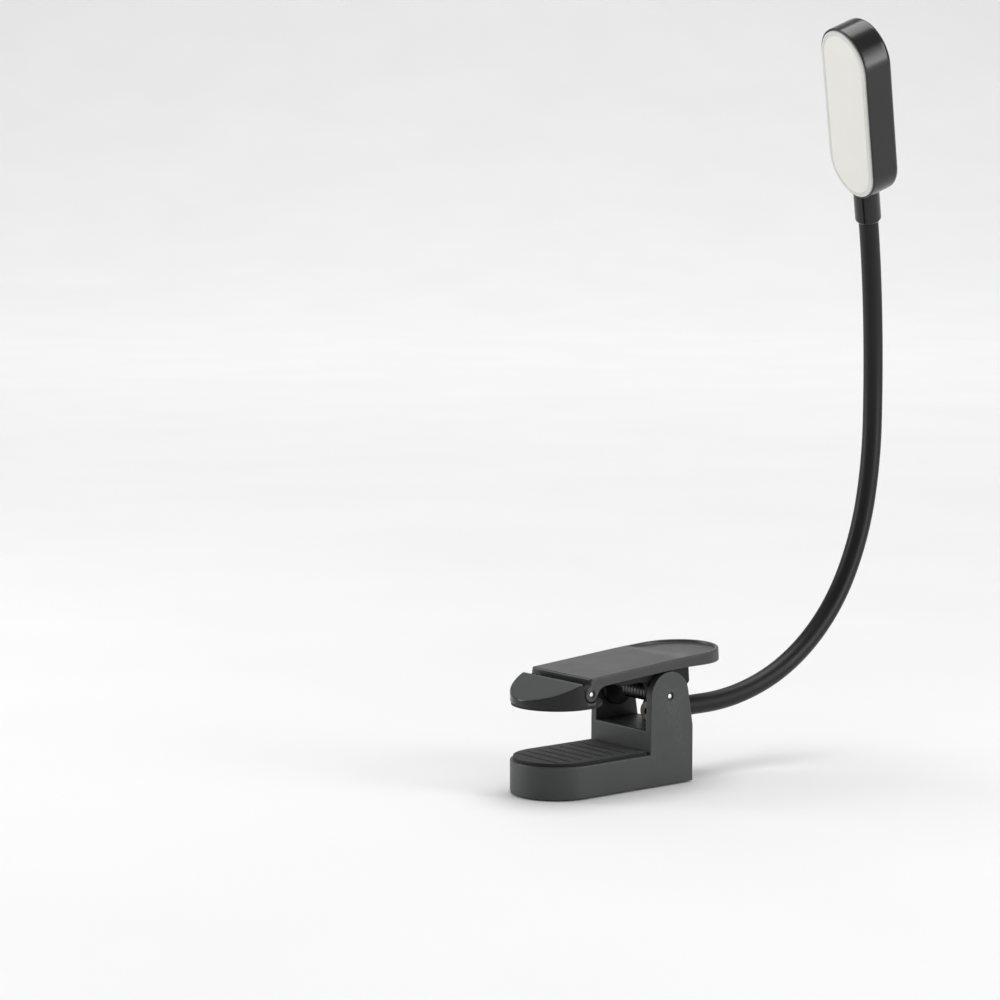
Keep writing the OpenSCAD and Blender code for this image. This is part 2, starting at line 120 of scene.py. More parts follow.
# Light head, in its own frame: x towards its back, z along it, origin in the middle of its front
head_x = largest_normal("diffuser")
if span_along("head_shell", head_x)[1] < span_along("diffuser", head_x)[1]:
    head_x = -head_x
head_y = largest_normal("head_shell", head_x)
head_z = head_x.cross(head_y)
if span_along("head_collar", head_z)[0] > span_along("head_shell", head_z)[0]:
    head_y, head_z = -head_y, -head_z
shell_span = [span_along("head_shell", axis) for axis in (head_x, head_y, head_z)]
lens_span = [span_along("diffuser", axis) for axis in (head_x, head_y, head_z)]
head_w = shell_span[1][1] - shell_span[1][0]
head_l = shell_span[2][1] - shell_span[2][0]
front_x = lens_span[0][0] + 0.7
head_t = shell_span[0][1] - front_x
HEAD = matrix_of(
    head_x, head_y, head_z,
    head_x * front_x + head_y * sum(shell_span[1]) / 2 + head_z * sum(shell_span[2]) / 2,
)
collar_span = span_along("head_collar", head_z)
collar_foot = collar_span[0] - sum(shell_span[2]) / 2


# ---------------------------------------------------------------- materials

def node_tree(name):
    """A new material, with its nodes, links and shader."""
    made = bpy.data.materials.new(name)
    made.use_nodes = True
    nodes, links = made.node_tree.nodes, made.node_tree.links
    shader = next(n for n in nodes if n.type == "BSDF_PRINCIPLED")
    return made, nodes, links, shader


def noise(nodes, links, scale, detail):
    """Noise in the object's own coordinates. scale is in features per metre."""
    place = nodes.new("ShaderNodeTexCoord")
    texture = nodes.new("ShaderNodeTexNoise")
    texture.inputs["Scale"].default_value = scale
    texture.inputs["Detail"].default_value = detail
    links.new(place.outputs["Object"], texture.inputs["Vector"])
    return texture.outputs["Fac"]


def ranged(nodes, links, value, low, high, from_low=0.3, from_high=0.7):
    """The middle of a noise spread over a range of values."""
    reach = nodes.new("ShaderNodeMapRange")
    reach.inputs["From Min"].default_value = from_low
    reach.inputs["From Max"].default_value = from_high
    reach.inputs["To Min"].default_value = low
    reach.inputs["To Max"].default_value = high
    links.new(value, reach.inputs["Value"])
    return reach.outputs["Result"]


def mixed(nodes, links, fac, a, b):
    """A colour between two, each of which is a tuple or a socket."""
    mix = nodes.new("ShaderNodeMix")
    mix.data_type = "RGBA"
    links.new(fac, mix.inputs["Factor"])
    for socket, colour in ((mix.inputs["A"], a), (mix.inputs["B"], b)):
        if isinstance(colour, tuple):
            socket.default_value = (*colour, 1)
        else:
            links.new(colour, socket)
    return mix.outputs["Result"]


def solid(name, colour, rough, metal=0.0, vary=0.10, bump=0.06, spread=0.035,
          wear=None, coat=0.0, specular=0.5, sheen=0.0):
    """Moulded, turned or stamped material: mottled colour and gloss, fine grain, and worn edges."""
    mottle_scale, grain_scale, wear_scale = 90, 2500.0, 700
    made, nodes, links, shader = node_tree(name)
    broad = noise(nodes, links, mottle_scale, 4)
    fine = noise(nodes, links, grain_scale, 2)
    light = tuple(min(1, c * (1 + vary)) for c in colour)
    dark = tuple(c * (1 - vary) for c in colour)
    tint = mixed(nodes, links, ranged(nodes, links, broad, 0, 1), dark, light)
    gloss = ranged(nodes, links, broad, rough - spread, rough + spread)
    if wear:
        edge = nodes.new("ShaderNodeAttribute")
        edge.attribute_name = "wear"
        scuff = nodes.new("ShaderNodeMath")
        scuff.operation = "MULTIPLY"
        patches = ranged(nodes, links, noise(nodes, links, wear_scale, 5), 0, 1, 0.35, 0.75)
        links.new(edge.outputs["Fac"], scuff.inputs[0])
        links.new(patches, scuff.inputs[1])
        tint = mixed(nodes, links, scuff.outputs["Value"], tint, wear)
    links.new(tint, shader.inputs["Base Color"])
    links.new(gloss, shader.inputs["Roughness"])
    relief = nodes.new("ShaderNodeBump")
    relief.inputs["Strength"].default_value = bump
    relief.inputs["Distance"].default_value = 0.0002
    links.new(fine, relief.inputs["Height"])
    links.new(relief.outputs["Normal"], shader.inputs["Normal"])
    shader.inputs["Metallic"].default_value = metal
    shader.inputs["Specular IOR Level"].default_value = specular
    shader.inputs["Coat Weight"].default_value = coat
    shader.inputs["Coat Roughness"].default_value = 0.12
    if sheen:
        shader.inputs["Sheen Weight"].default_value = sheen
        shader.inputs["Sheen Roughness"].default_value = 0.5
    return made


def milky(name, colour, painted_glow, rough=0.32):
    """Frosted light-diffusing plastic, brightened by a faint emission that is painted light."""
    made, nodes, links, shader = node_tree(name)
    broad = noise(nodes, links, 40, 2)
    fine = noise(nodes, links, 3000, 2)
    cool = tuple(c * 0.965 for c in colour)
    tint = mixed(nodes, links, ranged(nodes, links, broad, 0, 1), colour, cool)
    links.new(tint, shader.inputs["Base Color"])
    # emission in the plastic's own colour: painted light that brightens it
    links.new(tint, shader.inputs["Emission Color"])
    shader.inputs["Emission Strength"].default_value = painted_glow
    links.new(ranged(nodes, links, broad, rough - 0.05, rough + 0.05), shader.inputs["Roughness"])
    relief = nodes.new("ShaderNodeBump")
    relief.inputs["Strength"].default_value = 0.04
    relief.inputs["Distance"].default_value = 0.0001
    links.new(fine, relief.inputs["Height"])
    links.new(relief.outputs["Normal"], shader.inputs["Normal"])
    shader.inputs["Subsurface Weight"].default_value = 0.15
    shader.inputs["Subsurface Radius"].default_value = (0.002, 0.002, 0.002)
    shader.inputs["Subsurface Scale"].default_value = 0.5
    return made


SCUFFED = (0.060, 0.062, 0.064)
FAINT_SCUFFS = (0.016, 0.016, 0.017)
SOLID_LOOKS = {
    "shell_plastic": dict(
        colour=(0.036, 0.038, 0.038), rough=0.46, wear=SCUFFED, bump=0.10, specular=0.45),
    "lever_plastic": dict(
        colour=(0.026, 0.026, 0.027), rough=0.36, wear=SCUFFED, bump=0.08, specular=0.45),
    # near-black paint of the lever's inner ears and rib: painted shade for the dark space under the lever
    "lever_inner_shade": dict(
        colour=(0.007, 0.007, 0.0075), rough=0.5, specular=0.2),
    "pad_plastic": dict(
        colour=(0.026, 0.028, 0.029), rough=0.36, wear=SCUFFED, bump=0.06, specular=0.45),
    # glossy side walls of the upper pad, far darker than its top: real gloss, and painted shade in the colour
    "pad_gloss_and_shade": dict(
        colour=(0.005, 0.005, 0.0055), rough=0.20, bump=0.02, spread=0.02, specular=0.32),
    "grip_rubber": dict(
        colour=(0.014, 0.014, 0.014), rough=0.78, vary=0.2, bump=0.20, specular=0.3, sheen=0.1),
    "sleeve_rubber": dict(
        colour=(0.004, 0.004, 0.0045), rough=0.42, bump=0.08, specular=0.28),
    "ferrule_plastic": dict(
        colour=(0.024, 0.024, 0.025), rough=0.45, wear=SCUFFED),
    "button_plastic": dict(
        colour=(0.055, 0.056, 0.058), rough=0.42, wear=SCUFFED),
    "collar_plastic": dict(
        colour=(0.004, 0.004, 0.0045), rough=0.12, bump=0.02, spread=0.02, specular=0.4),
    "head_plastic": dict(
        colour=(0.008, 0.008, 0.0085), rough=0.22, wear=FAINT_SCUFFS, bump=0.02, spread=0.02,
        specular=0.42),
    "gooseneck_steel": dict(colour=(0.45, 0.45, 0.46), rough=0.4, metal=1),
    "pin_steel": dict(colour=(0.88, 0.88, 0.88), rough=0.25, metal=1, vary=0.04, bump=0.05),
    "spring_steel": dict(colour=(0.10, 0.10, 0.105), rough=0.36, metal=1, bump=0.05),
    "screw_steel": dict(colour=(0.60, 0.60, 0.62), rough=0.30, metal=1, bump=0.05),
    "brass": dict(colour=(0.22, 0.20, 0.16), rough=0.4, metal=1),
    "socket_metal": dict(colour=(0.62, 0.62, 0.64), rough=0.25, metal=1, vary=0.06, bump=0.04),
    "led_board": dict(colour=(0.75, 0.76, 0.74), rough=0.35, vary=0.05),
    "led_phosphor": dict(colour=(0.9, 0.72, 0.22), rough=0.4),
    "circuit_board": dict(colour=(0.01, 0.10, 0.045), rough=0.3, vary=0.3, coat=0.3),
    "battery_film": dict(colour=(0.10, 0.2, 0.42), rough=0.3, vary=0.15),
    "foam": dict(colour=(0.05, 0.05, 0.055), rough=0.9, vary=0.3, bump=0.5),
    "switch_plastic": dict(colour=(0.25, 0.25, 0.24), rough=0.5),
}
MILKY_LOOKS = {
    # the faint emission strengths below are painted light on the diffuser, its rim and the light pipes
    "diffuser": dict(colour=(0.71, 0.705, 0.665), painted_glow=0.10),
    # darker milky colour of the diffuser's rim: painted shade along the diffuser's edge
    "diffuser_rim_shade": dict(colour=(0.60, 0.60, 0.575), painted_glow=0.05, rough=0.2),
    "light_guide": dict(colour=(0.9, 0.9, 0.88), painted_glow=0.1),
    "light_pipe": dict(colour=(0.85, 0.87, 0.85), painted_glow=0.05, rough=0.2),
}
MATERIALS = {name: solid(name, **look) for name, look in SOLID_LOOKS.items()}
MATERIALS.update({name: milky(name, **look) for name, look in MILKY_LOOKS.items()})

for subpart in frame["record"]["subparts"]:
    mesh = frame["nodes"][subpart["node"]].data
    mesh.materials.clear()
    mesh.materials.append(MATERIALS[subpart["material_slot"]])


# ---------------------------------------------------------------- mesh helpers

def new_object(name, data):
    made = bpy.data.objects.new(name, data)
    bpy.context.scene.collection.objects.link(made)
    return made


def closed_mesh(name, points, faces, place=Matrix()):
    """A mesh from points in millimetres, moved by place, with its faces turned outwards."""
    mesh = bpy.data.meshes.new(name)
    mesh.from_pydata([(place @ Vector(p)) * MM for p in points], [], faces)
    work = bmesh.new()
    work.from_mesh(mesh)
    bmesh.ops.remove_doubles(work, verts=work.verts, dist=1e-7)
    bmesh.ops.recalc_face_normals(work, faces=work.faces)
    work.to_mesh(mesh)
    work.free()
    return new_object(name, mesh)


def lofted(name, rings, place=Matrix(), ladder=True):
    """Joins rings of points into a closed skin. A ladder cap joins mirrored points, for outlines drawn
    from one end round to the same end; otherwise a cap is one face."""
    n = len(rings[0])
    points = [p for ring in rings for p in ring]
    faces = []
    for k in range(len(rings) - 1):
        for i in range(n):
            j = (i + 1) % n
            faces.append((k * n + i, k * n + j, (k + 1) * n + j, (k + 1) * n + i))
    for base in (0, (len(rings) - 1) * n):
        if ladder:
            for i in range(n // 2 - 1):
                faces.append((base + i, base + i + 1, base + n - 2 - i, base + n - 1 - i))
        else:
            faces.append(tuple(range(base, base + n)))
    return closed_mesh(name, points, faces, place)


def cut(ob, cutter, operation="DIFFERENCE"):
    """Cuts one closed skin with another, or joins them, and removes the second."""
    step = ob.modifiers.new("cut", "BOOLEAN")
    step.operation = operation
    step.solver = "EXACT"
    step.object = cutter
    bpy.context.view_layer.update()
    seen = ob.evaluated_get(bpy.context.evaluated_depsgraph_get())
    result = bpy.data.meshes.new_from_object(seen)
    ob.modifiers.clear()
    ob.data = result
    bpy.data.objects.remove(cutter)
    return ob


def finished(ob, name, slot, body, *nodes, sharp=35, paint=None):
    """Shades a piece, marks its worn edges, and gives it its material and body. Long faces take no wear,
    because it would spread along them."""
    longest, full_wear_turn = 2.6 * MM, math.radians(22)
    ob.name = name
    mesh = ob.data
    mesh.materials.clear()
    mesh.materials.append(MATERIALS[paint or slot])
    work = bmesh.new()
    work.from_mesh(mesh)
    for face in work.faces:
        face.smooth = True
    for edge in work.edges:
        edge.smooth = not (edge.is_manifold and edge.calc_face_angle() > math.radians(sharp))
    mark = work.verts.layers.float.new("wear")
    for vert in work.verts:
        turns = [e.calc_face_angle() for e in vert.link_edges if e.is_manifold]
        open_run = max((e.calc_length() for e in vert.link_edges), default=0) > longest
        vert[mark] = 0.0 if open_run else min(1.0, max(turns, default=0) / full_wear_turn)
    work.to_mesh(mesh)
    work.free()
    weigh = ob.modifiers.new("weigh", "WEIGHTED_NORMAL")
    weigh.keep_sharp = True
    weigh.weight = 100
    if body:
        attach(ob, body)
    if nodes:
        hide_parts(*nodes)
    return ob


def mirrored(half):
    """A closed outline from its upper half."""
    return half + [(x, -y) for x, y in reversed(half)]


def bullet(flat_x, centre_x, r, corner, inset=0.0):
    """Outline with one flat end and one half-round end, drawn in by inset."""
    corner_steps, side_steps, arc = 6, 30, 32
    s = 1 if centre_x > flat_x else -1
    r, flat_x, corner = r - inset, flat_x + s * inset, max(corner - inset, 0.05)
    half = []
    for k in range(corner_steps + 1):
        a = math.pi / 2 * k / corner_steps
        half.append((flat_x + s * corner * (1 - math.cos(a)), r - corner + corner * math.sin(a)))
    start = half[-1][0]
    for k in range(1, side_steps):
        half.append((start + (centre_x - start) * k / side_steps, r))
    for k in range(arc):
        a = math.pi / 2 * k / (arc - 0.5)
        half.append((centre_x + s * r * math.sin(a), r * math.cos(a)))
    return mirrored(half)


def pill(l, w, inset=0.0, arc=26, side=14):
    """Outline with two half-round ends, from its low end round to the same end, as (along, across)."""
    r, straight = w / 2 - inset, l - w
    half = []
    for k in range(arc):
        a = math.pi / 2 * (k + 0.5) / (arc - 0.5)
        half.append((-straight / 2 - r * math.cos(a), r * math.sin(a)))
    for k in range(1, side):
        half.append((straight * (k / side - 0.5), r))
    for k in range(arc):
        a = math.pi / 2 * k / (arc - 0.5)
        half.append((straight / 2 + r * math.sin(a), r * math.cos(a)))
    return mirrored(half)


def rounded(edge, radius, up=1, steps=5, guard=0.5):
    """(inset, height) pairs up a side wall and over a rounded edge, with a flat margin on each side."""
    pairs = [(0.0, edge - up * (radius + guard)), (0.0, edge - up * radius)]
    for k in range(1, steps + 1):
        a = math.pi / 2 * k / steps
        pairs.append((radius * (1 - math.cos(a)), edge - up * radius * (1 - math.sin(a))))
    pairs.append((radius + guard, edge))
    return pairs


def slab(name, outline, low, high, edge_low, edge_high, place=Matrix(), ladder=True):
    """A plate of an outline(inset) between two heights, with rounded edges."""
    pairs = list(reversed(rounded(low, edge_low, -1))) + rounded(high, edge_high, 1)
    rings = [[(x, y, z) for x, y in outline(inset)] for inset, z in pairs]
    return lofted(name, rings, place, ladder)


def shrunk(points, inset):
    """A closed outline drawn in by inset, each corner along the mean of its two sides' normals."""
    if inset == 0:
        return points
    n = len(points)
    area = sum(points[i - 1][0] * points[i][1] - points[i][0] * points[i - 1][1] for i in range(n))
    turn = 1 if area > 0 else -1
    found = []
    for i in range(n):
        before = Vector(points[i]) - Vector(points[i - 1])
        after = Vector(points[(i + 1) % n]) - Vector(points[i])
        n1 = Vector((-before.y, before.x)).normalized() * turn
        n2 = Vector((-after.y, after.x)).normalized() * turn
        middle = (n1 + n2).normalized()
        found.append(tuple(Vector(points[i]) + middle * inset / max(0.5, middle.dot(n1))))
    return found


def divided(points, longest):
    """An outline with points added so that no side is longer than a length."""
    found = []
    for start, end in zip(points, points[1:] + points[:1]):
        pieces = max(1, math.ceil(math.dist(start, end) / longest))
        found += [tuple(Vector(start).lerp(Vector(end), k / pieces)) for k in range(pieces)]
    return found


def side_slab(name, points, y, t, edge, place=Matrix()):
    """A plate drawn from the side, as (x, z) points, square to Y and centred on y, with rounded edges."""
    upright = Matrix.Translation((0, y + t / 2, 0)) @ Matrix.Rotation(math.pi / 2, 4, "X")
    outline = divided(points, 1.6)
    return slab(name, lambda d: shrunk(outline, d), 0, t, edge, edge, place @ upright, ladder=False)


def block(name, low, high, place=Matrix()):
    """A plain box, used only to cut with."""
    points = [(x, y, z) for x in (low[0], high[0]) for y in (low[1], high[1]) for z in (low[2], high[2])]
    faces = [(0, 1, 3, 2), (4, 6, 7, 5), (0, 4, 5, 1), (2, 3, 7, 6), (0, 2, 6, 4), (1, 5, 7, 3)]
    return closed_mesh(name, points, faces, place)


def turned(name, profile, place, sides=64):
    """A solid of revolution: profile is (along, radius) pairs, and its axis is place's z."""
    points, faces = [], []
    for along, r in profile:
        for k in range(sides):
            a = 2 * math.pi * k / sides
            points.append((r * math.cos(a), r * math.sin(a), along))
    for i in range(len(profile) - 1):
        for k in range(sides):
            j = (k + 1) % sides
            faces.append((i * sides + k, i * sides + j, (i + 1) * sides + j, (i + 1) * sides + k))
    for base in (0, (len(profile) - 1) * sides):
        faces.append(tuple(range(base, base + sides)))
    return closed_mesh(name, points, faces, place)


def along_axis(direction, origin):
    """A frame whose z lies along a direction."""
    z = Vector(direction).normalized()
    x = z.orthogonal().normalized()
    return matrix_of(x, z.cross(x), z, Vector(origin))


def arc_points(cx, cz, r, start, end, steps):
    """Points on a circle from one angle to another, in degrees."""
    return [
        (cx + r * math.cos(math.radians(start + (end - start) * k / steps)),
         cz + r * math.sin(math.radians(start + (end - start) * k / steps)))
        for k in range(steps + 1)
    ]


def ring(p, t, r, sides):
    """Circle of points round p, square to the direction t, which is nearly square to Y."""
    u = t.cross(Vector((0, 1, 0))).normalized()
    v = t.cross(u)
    angles = [2 * math.pi * k / sides for k in range(sides)]
    return [tuple(p + r * (math.cos(a) * u + math.sin(a) * v)) for a in angles]


def smoothstep(x, low, high):
    """0 below low, 1 above high, and a smooth rise between them."""
    t = min(1.0, max(0.0, (x - low) / (high - low)))
    return t * t * (3 - 2 * t)


# ---------------------------------------------------------------- lever

arm_r = 2.9
inner_ear_r = 7.5
inner_ear_t = 2.5
inner_ear_y = half_w - 4.75
recess_r = 1.75
shy = 0.004  # how far a piece stays behind a face that it would otherwise share


def plate_drop(x, slope):
    """How far the lever has drooped at x, for the slope that its handle end reaches."""
    droop_x, softness = 7, 5
    d = x - droop_x
    return slope * 0.5 * (d + math.sqrt(d * d + softness * softness))


def lever_plate():
    """The lever's plate: rounded edges, a tray in the drooping handle, and two shallow hollows below."""
    top_slope, under_slope = 0.0262, 0.0734
    tray_depth, hollow_depth = 1.05, 0.8

    def outline(inset):
        return bullet(pin_back, plate_end_x, half_w, 1.0, inset)

    def top(x):
        return plate_top - plate_drop(x, top_slope)

    def tray(x):
        return tray_depth * smoothstep(x, 6, 17)

    def under(x):
        return plate_top - plate_t - plate_drop(x, under_slope)

    def hollow(x):
        front = smoothstep(x, -36, -35) - smoothstep(x, -11, -10)
        return hollow_depth * (front + smoothstep(x, 16, 17) - smoothstep(x, 28, 29))

    def hollowed(x):
        return under(x) + hollow(x)

    tray_wall = [(1.15, 0), (1.35, 0.08), (1.50, 0.30), (1.65, 0.80), (1.95, 0.97), (2.50, 1)]
    levels = [(3.4, hollowed), (3.2, hollowed), (3.0, under), (1.1, under)]
    levels += [(d, lambda x, z=z: under(x) + z) for d, z in reversed(rounded(0, 0.5, -1)[:-1])]
    levels += [(d, lambda x, z=z: top(x) + z) for d, z in rounded(0, 0.55, 1)[:-1]]
    levels += [(d, lambda x, share=share: top(x) - share * tray(x)) for d, share in tray_wall]
    rings = [[(x, y, level(x)) for x, y in outline(inset)] for inset, level in levels]
    return lofted("plate", rings, LEVER)


def arm_outline():
    """S-shaped front arm, from the plate's front corner down round the front pin."""
    px, pz = pin_back, pin_up
    points = [(px + 0.1, plate_top - 1.2), (px + 0.05, plate_top - 2.4)]
    points += [(px - 0.9, pz + 3.0), (px - 2.0, pz + 2.1)]
    points += arc_points(px, pz, arm_r, 152, 318, 22)
    points += [(px + 3.0, pz - 0.8), (px + 3.7, pz + 0.3), (px + 4.6, pz + 1.2), (px + 5.8, pz + 1.85)]
    points += [(px + 7.4, pz + 2.2), (px + 9.5, pz + 2.35), (px + 9.5, plate_top - 1.2)]
    return points


def inner_ear_outline():
    """Inner ear of the lever, round the main pin, and the rib that runs forward from it."""
    under = plate_top - plate_t
    points = arc_points(0, 0, inner_ear_r, 180, 345, 24)
    points += [(9.2, 0.2), (13.0, 2.7), (13.4, 3.4), (13.4, under + 0.3), (-25, under + 0.3)]
    points += [(-23.6, under - 1.4), (-22, under - 2.4), (-20, under - 2.7), (-11.5, under - 3.0)]
    points += [(-9, under - 3.9), (-7.9, under - 6)]
    return points


def across(at):
    """A frame whose z lies along Y."""
    return matrix_of(Vector((0, 0, 1)), Vector((1, 0, 0)), Vector((0, 1, 0)), at)


def pin_recess(at, side, depth, place=Matrix()):
    """Cutter for the round recess that shows a pin's end, on one side of the clip."""
    axis = place @ across(Vector(at) + Vector((0, side * half_w, 0)))
    return turned("cutter", [(-depth, recess_r), (depth, recess_r)], axis, 48)


def lever():
    """Plate and arms as one moulding, and the two inner ears, which face the dark space below it and are painted
    near black as painted shade.
    """
    plate = lever_plate()
    for side, ear_name in ((-1, "lever_ear_right"), (1, "lever_ear_left")):
        arm = side_slab("arm", arm_outline(), side * (half_w - arm_t / 2 - shy), arm_t, 0.28, LEVER)
        arm = cut(arm, pin_recess((pin_back, 0, pin_up), side, 0.55, LEVER))
        plate = cut(plate, arm, "UNION")
        ear = side_slab("ear", inner_ear_outline(), side * inner_ear_y, inner_ear_t, 0.3, LEVER)
        # the inner ears take the near-black paint: painted shade
        finished(ear, ear_name, "lever_plastic", "lever", paint="lever_inner_shade")
    finished(plate, "lever_arm", "lever_plastic", "lever", "lever")


def pin(name, at, r, reach, body, node):
    """Turned pin along Y with chamfered, slightly domed ends."""
    profile = [(-reach - 0.1, r * 0.15), (-reach - 0.07, r * 0.5), (-reach + 0.02, r * 0.74)]
    profile += [(-reach + 0.25, r * 0.84), (-reach + 0.6, r * 0.86), (-reach + 0.9, r)]
    profile += [(-z, rad) for z, rad in reversed(profile)]
    finished(turned(name, profile, across(at)), name, "pin_steel", body, node, sharp=50)


lever()
pin("main_pin_turned", hinge, 1.2, half_w - 0.25, "housing", "main_pin")
pin("front_pin_turned", front_pin, 1.1, half_w - 0.2, "lever", "front_pin")


# ---------------------------------------------------------------- upper pad

opening = box_mm("pad_sole")[0].z
pad_high = box_mm("pad_body")[1]
sole_t = 1.2


def arm_pocket(side):
    """Cutter for the room that one of the lever's arms needs in the pad."""
    r = 3.5
    outline = [(-r - 1.3, 9)] + arc_points(0, 0, r, 172, 308, 20) + [(5, -0.8), (9, -0.8), (9, 9)]
    points = [(front_pin.x + x, front_pin.z + z) for x, z in outline]
    inner = half_w - arm_t - 0.4
    return side_slab("cutter", points, side * (inner + 3), 6, 0.02)


def pad_body():
    """Half-round pad with a sloping top, a step at the lever's front edge, and a low rear end."""
    slope = math.tan(math.radians(22.7))
    crest_x, crest_z = -5.0, pad_high.z
    heel_z, heel_slope = 8.1, 0.43

    def top(x):
        if x <= crest_x:
            return crest_z - (crest_x - x) * slope
        back = smoothstep(x, crest_x + 0.6, crest_x + 1.6)
        low = opening + heel_z - (x + 3.6) * heel_slope
        return crest_z * (1 - back) + low * back

    def outline(inset):
        return bullet(pad_high.x, jaw_centre_x, half_w, 2.6, inset)

    base = opening + sole_t
    levels = [(d, lambda x, z=z: base + z) for d, z in reversed(rounded(0, 0.25, -1, 3, 0.3))]
    levels += [(d, lambda x, z=z: top(x) + z) for d, z in rounded(0, 0.55, 1, 5, 0.3)]
    rings = [[(x, y, level(x)) for x, y in outline(inset)] for inset, level in levels]
    body = lofted("pad", rings)
    for side in (-1, 1):
        body = cut(body, arm_pocket(side))
    return body


def upper_pad():
    """Satin pad whose side walls ahead of the arms are glossier and darker: the gloss is the pad's own, the darker
    colour is painted shade.
    """
    steepest, gloss_and_shade_end = 0.4, -2 * MM
    pad = finished(pad_body(), "upper_pad_body", "pad_plastic", "upper_pad", "pad_body")
    pad.data.materials.append(MATERIALS["pad_gloss_and_shade"])
    # side-facing faces ahead of the arms take the darker glossy material: painted shade on the side walls
    for face in pad.data.polygons:
        if abs(face.normal.z) < steepest and face.center.x < gloss_and_shade_end:
            face.material_index = 1


upper_pad()


# ---------------------------------------------------------------- lower housing

cover_t, wall = 1.8, 2.0
ear_r = 9.7
drill_x = rear_x - wall - 1
drill_l = 6
button_nodes = ("power_button", "colour_button")


def jaw(rear, r, corner):
    """Outline of the jaw seen from above, as a function of inset."""
    return lambda inset: bullet(rear, jaw_centre_x, r, corner, inset)


def seat_cutter():
    """Room for the bottom cover."""
    outline = jaw(rear_x - 1, half_w - 1, 0.3)
    return slab("cutter", outline, housing_z - 3, housing_z + cover_t, 0.05, 0.05)


def bay_cutter():
    """Battery bay, open below."""
    outline = jaw(rear_x - wall, half_w - wall, 0.5)
    return slab("cutter", outline, housing_z - 3, -pad_t - wall, 0.05, 0.5)


def tub():
    """Front of the housing, under the lower rubber pad."""
    made = slab("tub", jaw(throat_x + 1.2, half_w, 0.3), housing_z + 0.002, -pad_t, 0.6, 0.6)
    return cut(cut(made, seat_cutter()), bay_cutter())


def upstand_outline(inset):
    """Rounded rectangle, mirrored about y = 0, from its low end round to the same end."""
    x0, x1, half = throat_x + inset, rear_x - 0.02 - inset, half_w - 1.5 - inset
    corner = max(0.6 - inset, 0.05)
    quarter = [math.pi / 2 * k / 5 for k in range(6)]
    points = [(x0 + corner * (1 - math.cos(a)), half - corner * (1 - math.sin(a))) for a in quarter]
    points += [(x1 - corner * (1 - math.sin(a)), half - corner * (1 - math.cos(a))) for a in quarter]
    return mirrored(points)


def socket_cutter():
    """Slot of the charging inlet, through the rear wall."""
    socket_z = sum(v.z for v in box_mm("charge_socket")) / 2
    facing = matrix_of(Vector((0, 1, 0)), Vector((0, 0, 1)), Vector((1, 0, 0)), Vector((0, 0, socket_z)))
    place = Matrix.Translation((drill_x, 0, 0)) @ facing
    return slab("cutter", lambda inset: pill(9.2, 3.5, inset), -1, drill_l, 0.02, 0.02, place)


def rear_drill(y, z, r, sides=64):
    """Cutter for a round hole through the rear wall."""
    return turned("cutter", [(0, r), (drill_l, r)], along_axis((1, 0, 0), (drill_x, y, z)), sides)


def upstand():
    """Hollow block behind the jaw, with the openings of its rear wall."""
    room_y = half_w - ear_t - 0.5
    made = slab("upstand", upstand_outline, housing_z + shy, deck_z, 0.5, 0.6)
    made = cut(made, block(
        "cutter", (throat_x + wall, -room_y, housing_z - 2), (rear_x - wall, room_y, deck_z - wall)
    ))
    made = cut(made, socket_cutter())
    for node in button_nodes:
        low, high = box_mm(node)
        centre = (low + high) / 2
        made = cut(made, rear_drill(centre.y, centre.z, 3.15))
    lamp_low, lamp_high = box_mm("light_pipe")
    made = cut(made, rear_drill(0, (lamp_low.z + lamp_high.z) / 2, 0.8, 32))
    return cut(made, seat_cutter())


def outer_ear(side):
    """Side wall of the upstand, rising to the domed ear round the main pin."""
    left, right = throat_x - hinge.x, rear_x - hinge.x
    low, step = housing_z - hinge.z, deck_z - hinge.z
    dome = arc_points(0, 0, ear_r, 8, 172, 48)
    points = [(left, low), (right, low), (right, step)] + dome + [(left, step)]
    outline = [(hinge.x + x, hinge.z + z) for x, z in points]
    made = side_slab("outer_ear", outline, side * (half_w - ear_t / 2 - shy), ear_t, 0.4)
    made = cut(made, pin_recess((hinge.x, 0, hinge.z), side, 0.6))
    return cut(made, seat_cutter())


def neck_tower():
    """Round-topped wall that carries the neck."""
    tower_t, shave = 5, 0.01

    def outline(inset):
        return bullet(deck_z - 1.5, neck_z, 7.0, 0.5, inset)

    facing = matrix_of(Vector((0, 0, 1)), Vector((0, 1, 0)), Vector((1, 0, 0)), Vector())
    place = Matrix.Translation((rear_x - tower_t, 0, 0)) @ facing
    return slab("tower", outline, 0, tower_t - shave, 0.6, 0.4, place)


def battery_housing():
    """Tub, upstand, tower and outer ears as one moulding."""
    housing = tub()
    for piece in [upstand(), neck_tower(), outer_ear(-1), outer_ear(1)]:
        housing = cut(housing, piece, "UNION")
    finished(housing, "battery_housing", "shell_plastic", "housing", "lower_shell")


def button_cap(node):
    """Dished button, with the collar behind the wall that keeps it in."""
    low, high = box_mm(node)
    centre = (low + high) / 2
    top = high.x - low.x
    profile = [(0, 1.1), (top - 3.75, 1.2), (top - 3.7, 3.8), (top - 3.05, 3.8)]
    profile += [(top - 3.0, 3.0), (top - 0.5, 3.0), (top - 0.15, 2.9), (top, 2.6)]
    profile += [(top, 2.2), (top - 0.12, 1.7), (top - 0.22, 0.9), (top - 0.25, 0.1)]
    cap = turned(node + "_cap", profile, along_axis((1, 0, 0), (low.x, centre.y, centre.z)))
    finished(cap, node + "_cap", "button_plastic", node, node, sharp=40)


